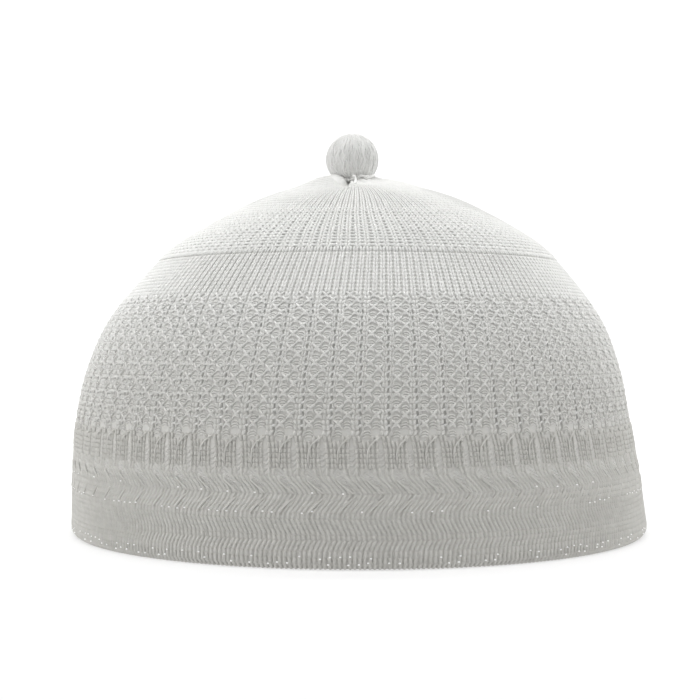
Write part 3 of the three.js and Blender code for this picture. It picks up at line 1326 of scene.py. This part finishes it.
def yarn_group() -> bpy.types.NodeTree:
    """Give the group that all the yarns share, and build it the first time.

    Returns:
        A group that takes a strand's tint and its own UV map, a shade, a colour and a number of
        plies, and puts out the tinted colour and the height of the plies' fine slanted lines.
        A tint below 0, the painted shade on the crown's shoulders, is darker than the shade, so its mix isn't
        clamped.
    """
    found = bpy.data.node_groups.get("yarn_plies")
    if found:
        return found
    group = bpy.data.node_groups.new("yarn_plies", "ShaderNodeTree")
    kinds = {"Tint": "Float", "Strand": "Vector", "Shade": "Color", "Colour": "Color", "Plies": "Float"}
    for name, kind in kinds.items():
        group.interface.new_socket(name, in_out="INPUT", socket_type="NodeSocket" + kind)
    for name, kind in (("Colour", "Color"), ("Height", "Float")):
        group.interface.new_socket(name, in_out="OUTPUT", socket_type="NodeSocket" + kind)
    given = group.nodes.new("NodeGroupInput").outputs
    result = group.nodes.new("NodeGroupOutput").inputs
    colour = mixed(group, given["Tint"], given["Shade"], given["Colour"], clamp=False)
    split = group.nodes.new("ShaderNodeSeparateXYZ")
    group.links.new(given["Strand"], split.inputs["Vector"])
    slanted = math_node(group, "ADD", split.outputs["X"], split.outputs["Y"])
    turns = math_node(group, "MULTIPLY", given["Plies"], FULL_TURN)
    height = math_node(group, "SINE", math_node(group, "MULTIPLY", slanted, turns))
    group.links.new(colour, result["Colour"])
    group.links.new(height, result["Height"])
    return group


@dataclass(frozen=True)
class YarnFinish:
    """White synthetic yarn, with plies that show as fine slanted lines."""

    name: str
    colour: Colour
    shade: Colour
    roughness: float = 0.82
    specular: float = 0.15
    sheen: float = 0.0
    sheen_roughness: float = 0.5
    plies: float = 5.0
    ply_strength: float = 0.35
    ply_height: float = 0.15 * MM
    # Emission of the yarn's own colour: painted light that lifts its shaded sides.
    glow: float = 0.0

    def material(self) -> bpy.types.Material:
        """Build the material from the tint attribute and the strand's own UV map.

        Returns:
            The material.
        """
        material = plain_material(
            self.name,
            Roughness=self.roughness,
            Sheen_Weight=self.sheen,
            Sheen_Roughness=self.sheen_roughness,
            Specular_IOR_Level=self.specular,
            Emission_Color=self.colour,
            Emission_Strength=self.glow,
        )
        tree = material.node_tree
        yarn = tree.nodes.new("ShaderNodeGroup")
        yarn.node_tree = yarn_group()
        tree.links.new(attribute(tree, "tint"), yarn.inputs["Tint"])
        tree.links.new(uv_place(tree, "strand"), yarn.inputs["Strand"])
        yarn.inputs["Shade"].default_value = (*self.shade, 1.0)
        yarn.inputs["Colour"].default_value = (*self.colour, 1.0)
        yarn.inputs["Plies"].default_value = self.plies
        tree.links.new(yarn.outputs["Colour"], tree.nodes["Principled BSDF"].inputs["Base Color"])
        return with_relief(material, yarn.outputs["Height"], self.ply_strength, self.ply_height)


class Yarn(Enum):
    """The yarns' finishes, by where on the kufi they show."""

    KNIT = YarnFinish("knit_yarn", (0.9, 0.9, 0.882), (0.84, 0.84, 0.822), glow=0.04)
    # A little darker than the knit's yarn: painted shade on the gathered top.
    GATHERED = YarnFinish("gathered_yarn", (0.88, 0.88, 0.862), (0.82, 0.82, 0.803), glow=0.035)
    # Darker than the knit's yarn: painted shade on the cap's lower side.
    SIDE = YarnFinish("side_yarn", (0.665, 0.657, 0.627), (0.61, 0.602, 0.572), glow=0.02)
    OPENWORK = YarnFinish("openwork_yarn", (0.88, 0.88, 0.863), (0.68, 0.673, 0.645), glow=0.03)
    FINE = YarnFinish("fine_yarn", (0.86, 0.86, 0.843), (0.8, 0.8, 0.783), glow=0.04)
    # Glowing beads: painted light for the pinholes low on the side.
    PAINTED_GLINT = YarnFinish("painted_glint", (0.95, 0.95, 0.95), (0.9, 0.9, 0.9), glow=0.3)
    BALL = YarnFinish("ball_yarn", (0.88, 0.88, 0.865), (0.75, 0.75, 0.735), sheen=0.03, plies=14, glow=0.05)


@dataclass(frozen=True)
class GroundFinish:
    """The knit's reverse: rows of purl bumps, seen inside the cap and through its gaps."""

    name: str = "knit_reverse"
    # The reverse is darker than the yarns over it: painted shade for the gaps between the stitches.
    colour: Colour = (0.78, 0.78, 0.76)
    shade: Colour = (0.69, 0.687, 0.665)
    # Painted shade for the crown's shoulder patches that the attribute fold marks.
    fold: Colour = (0.62, 0.625, 0.615)
    # Darker towards the bottom: painted shade on the cap's lower side, from low below low_until to the purl's
    # colours above pale_from, in millimetres along.
    low: Colour = (0.6, 0.592, 0.565)
    low_until: float = 30.0
    pale_from: float = 62.0
    roughness: float = 0.88
    sheen: float = 0.05
    specular: float = 0.3
    # Emission of the reverse's own colour: painted light that lifts its shade.
    glow: float = 0.04
    wales: int = 216
    course: float = 1.35
    purl_swing: float = 0.28
    relief: float = 0.8
    relief_height: float = 0.4 * MM

    def material(self) -> bpy.types.Material:
        """Build the material on the knit's UV map: turns across, millimetres along.

        Returns:
            The material.
        """
        material = plain_material(
            self.name,
            Roughness=self.roughness,
            Sheen_Weight=self.sheen,
            Specular_IOR_Level=self.specular,
            Emission_Color=self.colour,
            Emission_Strength=self.glow,
        )
        tree = material.node_tree
        split = tree.nodes.new("ShaderNodeSeparateXYZ")
        tree.links.new(uv_place(tree, "knit"), split.inputs["Vector"])
        across = math_node(tree, "MULTIPLY", split.outputs["X"], self.wales * FULL_TURN)
        lifted = math_node(tree, "MULTIPLY", math_node(tree, "COSINE", across), self.purl_swing)
        along = math_node(tree, "DIVIDE", split.outputs["Y"], self.course)
        turned = math_node(tree, "MULTIPLY", math_node(tree, "ADD", along, lifted), FULL_TURN)
        half = math_node(tree, "MULTIPLY", math_node(tree, "SINE", turned), 0.5)
        bumps = math_node(tree, "ADD", half, 0.5)
        bare = math_node(tree, "SUBTRACT", 1.0, attribute(tree, "plain"))
        relief = math_node(tree, "MULTIPLY", bare, bumps)
        height = tree.nodes.new("ShaderNodeMapRange")
        height.inputs["From Min"].default_value = self.low_until
        height.inputs["From Max"].default_value = self.pale_from
        tree.links.new(split.outputs["Y"], height.inputs["Value"])
        # Painted shade: the purl's valleys, and the plain ground behind the eyelets and ladders, take the
        # darker shade.
        purl = mixed(tree, relief, self.shade, self.colour)
        painted_low_shade = mixed(tree, height.outputs["Result"], self.low, purl)
        painted_fold_shade_colour = mixed(tree, attribute(tree, "fold"), painted_low_shade, self.fold)
        tree.links.new(painted_fold_shade_colour, tree.nodes["Principled BSDF"].inputs["Base Color"])
        return with_relief(material, relief, self.relief, self.relief_height)


@dataclass(frozen=True)
class BackdropFinish:
    """The pale ground of the studio, lit from behind as a light table is."""

    name: str = "pale_ground"
    colour: Colour = (0.45, 0.45, 0.45)
    light: Colour = (1.0, 1.0, 1.0)
    roughness: float = 0.9
    glow: float = 0.52

    def material(self) -> bpy.types.Material:
        """Build a plain matt material.

        Returns:
            The material.
        """
        return plain_material(
            self.name,
            Base_Color=self.colour,
            Roughness=self.roughness,
            Emission_Color=self.light,
            Emission_Strength=self.glow,
        )


# The studio


@dataclass(frozen=True)
class SoftLight:
    """A soft square light: where it hangs, its power, its side and the point that it looks at."""

    name: str
    place: tuple[float, float, float]
    power: float
    size: float = 1.0
    target: tuple[float, float, float] = (0.0, 0.0, 0.05)

    def build(self) -> None:
        """Hang the light and turn it to its target."""
        data = bpy.data.lights.new(self.name, "AREA")
        data.shape = "SQUARE"
        data.size = self.size
        data.energy = self.power
        lamp = bpy.data.objects.new(self.name, data)
        lamp.location = self.place
        aim = Vector(self.target) - Vector(self.place)
        lamp.rotation_euler = aim.to_track_quat("-Z", "Y").to_euler()
        bpy.context.scene.collection.objects.link(lamp)


@dataclass
class Studio:
    """The floor, the lights and the camera of the photograph."""

    camera_distance: float = 0.450
    camera_height: float = 0.0577
    camera_side: float = -0.0028
    focal_pixels: float = 1406.0
    frame_pixels: float = 700.0
    horizon_row: float = 346.0
    sensor: float = 36.0
    surround: float = 0.12
    floor_side: float = 14.0
    floor_ahead: float = 14.0
    floor_behind: float = 1.6
    wall_bend: float = 0.9
    wall_run: float = 2.0
    wall_stretch: float = 4.0
    lights: Sequence[SoftLight] = (
        SoftLight("sky_light", (-0.05, -0.35, 1.46), 13.3),
        SoftLight("left_light", (-1.4, -0.3, 0.5), 8.2),
        SoftLight("right_light", (1.4, -0.3, 0.5), 7.0),
        SoftLight("wall_light", (0.0, 0.6, 1.6), 60.0, size=1.6, target=(0.0, 2.4, 0.6)),
    )

    def build(self) -> None:
        """Set up the camera, the floor, the surround and the lights."""
        self.camera()
        self.floor()
        self.world()
        for light in self.lights:
            light.build()
        self.view()

    def floor(self) -> None:
        """Lay a pale sweep: a floor that curves up into a wall behind the cap."""
        mesh = bmesh.new()
        bmesh.ops.create_grid(mesh, x_segments=1, y_segments=200, size=1.0)
        whole = self.floor_ahead + self.floor_behind + self.wall_run
        for vert in mesh.verts:
            x = vert.co.x * self.floor_side
            past = (vert.co.y + 1) / 2 * whole - self.floor_ahead - self.floor_behind
            if past < 0:
                vert.co = (x, past + self.floor_behind, 0.0)
            else:
                angle = min(past / self.wall_bend, math.pi / 2)
                up = max(past - self.wall_bend * math.pi / 2, 0.0) * self.wall_stretch
                y = self.floor_behind + self.wall_bend * math.sin(angle)
                vert.co = (x, y, self.wall_bend * (1 - math.cos(angle)) + up)
        floor = object_from(mesh, "studio_floor")
        floor.data.materials.append(BackdropFinish().material())

    def camera(self) -> None:
        """Set up a level camera in front of the cap, just above the floor."""
        data = bpy.data.cameras.new("photo_camera")
        data.sensor_width = self.sensor
        data.lens = self.focal_pixels / self.frame_pixels * self.sensor
        data.shift_y = (self.horizon_row - self.frame_pixels / 2) / self.frame_pixels
        data.clip_start = 0.01
        data.clip_end = 50.0
        camera = bpy.data.objects.new("photo_camera", data)
        camera.location = (self.camera_side, -self.camera_distance, self.camera_height)
        camera.rotation_euler = (math.pi / 2, 0.0, 0.0)
        bpy.context.scene.collection.objects.link(camera)
        bpy.context.scene.camera = camera

    def view(self) -> None:
        """Show the light as it is, without a film curve."""
        settings = bpy.context.scene.view_settings
        settings.view_transform = "Standard"
        settings.look = "None"

    def world(self) -> None:
        """Set up an even white surround."""
        world = bpy.data.worlds.new("studio")
        world.use_nodes = True
        background = world.node_tree.nodes["Background"]
        background.inputs["Color"].default_value = (1.0, 1.0, 1.0, 1.0)
        background.inputs["Strength"].default_value = self.surround
        bpy.context.scene.world = world


# The kufi


@dataclass
class Kufi:
    """The whole cap: its knit, its crown and its ball."""

    pattern: KnitPattern
    ball: YarnBall
    tie: TieYarn

    @classmethod
    def from_frame(cls) -> Kufi:
        """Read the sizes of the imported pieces.

        Returns:
            A kufi that fits round them.
        """
        cap_low, cap_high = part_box("knit_cap")
        ball_low, ball_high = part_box("yarn_ball")
        tie_low, tie_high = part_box("tie_yarn")
        form = CapForm(rim_radius=(cap_high.y - cap_low.y) / 2, crown_height=CROWN_HEIGHT)
        thickness = (tie_high.z - tie_low.z) / 2
        return cls(
            pattern=KnitPattern(form),
            ball=YarnBall((ball_low + ball_high) / 2, (ball_high.z - ball_low.z) / 2),
            tie=TieYarn((tie_low + tie_high) / 2, (tie_high.x - tie_low.x) / 2 - thickness, thickness),
        )

    def side_bands(self) -> list[KnitBand]:
        """The bands of the side from the rim to the openwork.

        Returns:
            The bands, from the lowest up.
        """
        outer = (Wale.MIDDLE, Wale.LAST)
        low = {"foot": 0.21, "head": 0.27, "girth": 0.2, "overlap": 0.3, "bow": 0.3, "dive": 0.85}
        fine = {"foot": 0.19, "head": 0.27, "girth": 0.18, "overlap": 0.2, "bow": 0.4, "dive": 0.75}
        return [
            KnitBand("rim_rib", -3.4 * MM, 5.0 * MM, 5, **low),
            KnitBand("low_zigzag", 5.0 * MM, 13.2 * MM, 6, **low),
            KnitBand("low_straight", 13.2 * MM, 14.8 * MM, 1, **low),
            KnitBand("high_zigzag_up", 14.8 * MM, 19.6 * MM, 3, **low),
            KnitBand("high_zigzag_back", 19.6 * MM, 24.2 * MM, 3, wales=outer, **low),
            KnitBand("high_zigzag_first", 19.6 * MM, 21.2 * MM, 1, wales=(Wale.FIRST,), **low),
            KnitBand("foot_row", 24.2 * MM, 26.2 * MM, 1, wales=outer, **low),
            KnitBand("straight", 26.2 * MM, 31.4 * MM, 4, **fine),
            KnitBand("swing", 31.4 * MM, 34.6 * MM, 2, wales=outer, **fine),
            KnitBand("swing_first", 31.4 * MM, 33.2 * MM, 1, wales=(Wale.FIRST,), **fine),
        ]

    def openwork_bands(self) -> list[KnitBand]:
        """The openwork: two firm wales that frame the columns of eyelets.

        Returns:
            Its one band.
        """
        firm = {"foot": 0.12, "head": 0.32, "girth": 0.22, "overlap": 0.14, "bow": 0.35, "dive": 0.95}
        wales = (Wale.FIRST, Wale.LAST)
        return [KnitBand("firm", *self.pattern.openwork, 28, lay=Lay.OPENWORK, wales=wales, **firm)]

    def rib_bands(self) -> list[KnitBand]:
        """The close V rib and the smooth rows above it.

        Returns:
            The bands, from the lowest up.
        """
        outer = (Wale.FIRST, Wale.LAST)
        rib = {"foot": 0.12, "head": 0.25, "girth": 0.19, "overlap": 0.26, "bow": 0.35}
        rows = {"foot": 0.17, "head": 0.29, "girth": 0.22, "overlap": 0.2, "bow": 0.3}
        return [
            KnitBand("rib_foot", 74.2 * MM, 75.6 * MM, 1, wales=outer, **rib),
            KnitBand("v_rib", 75.6 * MM, 90.4 * MM, 11, **rib),
            KnitBand("smooth_row", 90.9 * MM, 92.6 * MM, 1, lift=0.12 * MM, **rows),
        ]

    def crown_bands(self) -> list[KnitBand]:
        """The ladders and the gathers.

        Returns:
            The bands, from the lowest up.
        """
        pair = {"lay": Lay.PAIRED, "foot": 0.14, "head": 0.29, "girth": 0.24, "overlap": 0.22, "bow": 0.3}
        return [
            KnitBand("ladders", 92.4 * MM, 119.5 * MM, 17, lift=0.2 * MM, **pair),
            KnitBand("gathers", 119.5 * MM, 151.0 * MM, 16, lift=0.2 * MM, **pair),
        ]

    def fields(self) -> list[tuple[StitchField, Yarn]]:
        """Every field of stitches, each under its own name and with its yarn.

        Returns:
            Pairs of a field and its yarn, in the order in which they are built.
        """
        pattern = self.pattern
        side = self.side_bands()
        lace = StitchField(
            pattern, "openwork_stitches", self.openwork_bands(), seed=23, painted_light_heights=OPENWORK_PAINTED_LIGHT
        )
        ladders, gathers = self.crown_bands()
        return [
            (StitchField(pattern, "rim_stitches", side[:2], seed=20), Yarn.SIDE),
            (StitchField(pattern, "side_stitches", side[2:], seed=21), Yarn.SIDE),
            (lace, Yarn.OPENWORK),
            (StitchField(pattern, "rib_stitches", self.rib_bands(), seed=24), Yarn.KNIT),
            (StitchField(pattern, "ladder_stitches", [ladders], seed=25), Yarn.KNIT),
            (StitchField(pattern, "gathered_stitches", [gathers], seed=27), Yarn.GATHERED),
        ]

    def strands(self) -> list[tuple[YarnStrands, Sequence[StrandRun | RaisedYarn], Yarn]]:
        """Every set of single yarns, each with its runs and its yarn.

        Returns:
            The sets in the order in which they are built.
        """
        crossings = self.ladder_rungs() + self.floats()
        rows = (
            ("ladder_rungs", 5, 2, None, crossings, Yarn.FINE),
            ("groove_yarns", 4, 2, None, self.groove_yarns(), Yarn.FINE),
            ("glints", 3, 2, None, self.glints(), Yarn.PAINTED_GLINT),
            ("left_eyelets", 4, 3, OPENWORK_PAINTED_LIGHT, self.eyelet_yarns(0), Yarn.OPENWORK),
            ("right_eyelets", 4, 3, OPENWORK_PAINTED_LIGHT, self.eyelet_yarns(1), Yarn.OPENWORK),
            ("eyelet_arms", 4, 2, OPENWORK_PAINTED_LIGHT, self.eyelet_arms(), Yarn.OPENWORK),
            ("raised_yarns", 5, 7, None, self.raised_yarns(), Yarn.SIDE),
        )
        return [
            (YarnStrands(self.pattern, name, sides=sides, steps=steps, painted_light_heights=painted_light_heights), runs, yarn)
            for name, sides, steps, painted_light_heights, runs, yarn in rows
        ]

    def ladder_rungs(self) -> list[StrandRun]:
        """The bare yarns that cross the crown's ladders.

        Returns:
            The rungs of the wide ladders and of the narrow ones.
        """
        pattern = self.pattern
        start, along = pattern.in_every_repeat(np.array(pattern.rung_rows) * MM)
        middle = start + pattern.ladder_at + pattern.drift.at(along)
        strong = StrandRun(middle, along, reach=0.42, depth=0.08 * MM, thickness=0.55 * MM, flat=0.4)
        weak = StrandRun(middle + 1.5, along, reach=0.32, depth=0.08 * MM, thickness=0.66 * MM, flat=0.4)
        return [strong, weak]

    def _eyelet_middles(self, column: int, rise: float) -> tuple[np.ndarray, np.ndarray]:
        """Where the eyelets of a column lie.

        Args:
            column: 0 for the left column of every repeat, 1 for the right one.
            rise: how far over each hole its middle is read.

        Returns:
            The middle of each eyelet in wales, and its hole's length along the outline.
        """
        pattern = self.pattern
        first = pattern.hole_row + pattern.eyelet_shift * column
        start, row = pattern.in_every_repeat(first + pattern.row_pitch * np.arange(10 - column))
        return start + pattern.eyelet_line.at(row + rise) + pattern.eyelet_gap * column, row

    def eyelet_yarns(self, column: int) -> list[StrandRun]:
        """The arched yarns over and between the eyelets of one column.

        Args:
            column: 0 for the left column of every repeat, 1 for the right one.

        Returns:
            The thin ripples under each eyelet and the firm arch over it.
        """
        ripple = {"reach": 0.42, "depth": -0.2 * MM, "thickness": 0.24 * MM, "arch": 0.5 * MM, "flat": 0.7}
        over = {"reach": 0.42, "depth": -0.1 * MM, "thickness": 0.36 * MM, "arch": 0.7 * MM, "flat": 0.5}
        yarns = ((-2.2, -2.2, ripple), (-1.5, -1.5, ripple), (-0.8, -0.8, ripple), (1.0, 0.4, over))
        runs = []
        for reading, rise, shape in yarns:
            middle, row = self._eyelet_middles(column, reading * MM)
            runs.append(StrandRun(middle, row + rise * MM, **shape))
        return runs

    def eyelet_arms(self) -> list[StrandRun]:
        """The crossed yarns that part each eyelet from the next one above it.

        Returns:
            For each column, the arms that fall and those that rise to the right.
        """
        shape = {"reach": 0.43, "depth": 0.0, "thickness": 0.42 * MM, "flat": 0.6, "dive": 0.2 * MM}
        runs = []
        for column in (0, 1):
            middle, row = self._eyelet_middles(column, 2.0 * MM)
            for slant in (-0.85, 0.85):
                runs.append(StrandRun(middle + 0.1 * slant, row + 1.7 * MM, slant=slant * MM, **shape))
        return runs

    def groove_yarns(self) -> list[StrandRun]:
        """The short yarns that cross the wavy grooves of the openwork.

        Returns:
            Their one run.
        """
        pattern = self.pattern
        rows = pattern.hole_row + pattern.row_pitch / 2 * (np.arange(18) + 0.5)
        start, along = pattern.in_every_repeat(rows)
        middle = start + pattern.openwork_groove + pattern.drift.at(along)
        return [StrandRun(middle, along, reach=0.22, depth=-0.4 * MM, thickness=0.38 * MM, slant=0.2 * MM)]

    def glints(self) -> list[StrandRun]:
        """Bright glowing beads low on the side: painted light that stands for pinholes through which the
        light shows.

        Returns:
            A run for each row.
        """
        pattern = self.pattern
        chance = np.random.default_rng(43)
        share, wander, scatter = 0.45, 0.15, 0.7
        runs = []
        for row, step, first in ((20.0, 3.0, 0.9), (14.8, 1.0, 0.75), (3.3, 1.0, 0.35), (1.9, 1.0, 0.1)):
            across = np.arange(first, pattern.wales, step)
            across = across[chance.random(len(across)) < share]
            across = across + wander * (chance.random(len(across)) - 0.5)
            along = (row + scatter * (chance.random(len(across)) - 0.5)) * MM
            runs.append(StrandRun(across, along, reach=0.09, depth=0.25 * MM, thickness=0.2 * MM))
        return runs

    def raised_yarns(self) -> list[RaisedYarn]:
        """The proud yarns of the swung wales and of the high zigzag.

        Returns:
            One for each path.
        """
        return [
            RaisedYarn(((0.62, 26.4), (0.6, 28.5), (0.68, 31.0), (1.1, 32.6), (1.7, 33.9), (2.3, 34.7))),
            RaisedYarn(((0.25, 23.6), (0.9, 22.0), (1.6, 20.6), (2.15, 19.5))),
            RaisedYarn(((0.2, 14.2), (0.75, 15.8), (1.4, 17.4), (2.1, 19.0))),
        ]

    def floats(self) -> list[StrandRun]:
        """The loose yarns across the row of eyelets.

        Returns:
            Their one run.
        """
        start, along = self.pattern.in_every_repeat(np.array([21.9, 22.9, 23.9]) * MM)
        middle = start + 0.75 + self.pattern.drift.at(along)
        return [StrandRun(middle, along, reach=0.5, depth=-0.4 * MM, thickness=0.22 * MM, arch=0.4 * MM)]


def dress(
    piece: bpy.types.Object, material: bpy.types.Material, nodes: Sequence[str] = ()
) -> None:
    """Give a piece its finish and its place in the frame.

    Args:
        piece: the new piece.
        material: its finish.
        nodes: the CAD nodes that the piece stands for.
    """
    piece.data.materials.clear()
    piece.data.materials.append(material)
    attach(piece, "root")
    if nodes:
        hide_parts(*nodes)
    LOG.info("%s: %d faces", piece.name, len(piece.data.polygons))


def main() -> None:
    """Build the kufi in its studio."""
    logging.basicConfig(level=logging.INFO, format="%(name)s: %(message)s")
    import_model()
    Studio().build()

    kufi = Kufi.from_frame()
    materials = {yarn: yarn.value.material() for yarn in Yarn}
    dress(GroundKnit(kufi.pattern).build(), GroundFinish().material(), ["knit_cap"])
    for stitches, yarn in kufi.fields():
        dress(stitches.build(), materials[yarn])
    for strands, runs, yarn in kufi.strands():
        dress(strands.build(runs), materials[yarn])
    dress(kufi.ball.core(), materials[Yarn.BALL], ["yarn_ball"])
    dress(kufi.ball.winding(), materials[Yarn.BALL])
    dress(NeckGathers(kufi.pattern.form).build(), materials[Yarn.GATHERED])
    dress(kufi.tie.build(), materials[Yarn.KNIT], ["tie_yarn"])


if __name__ == "__main__":
    main()
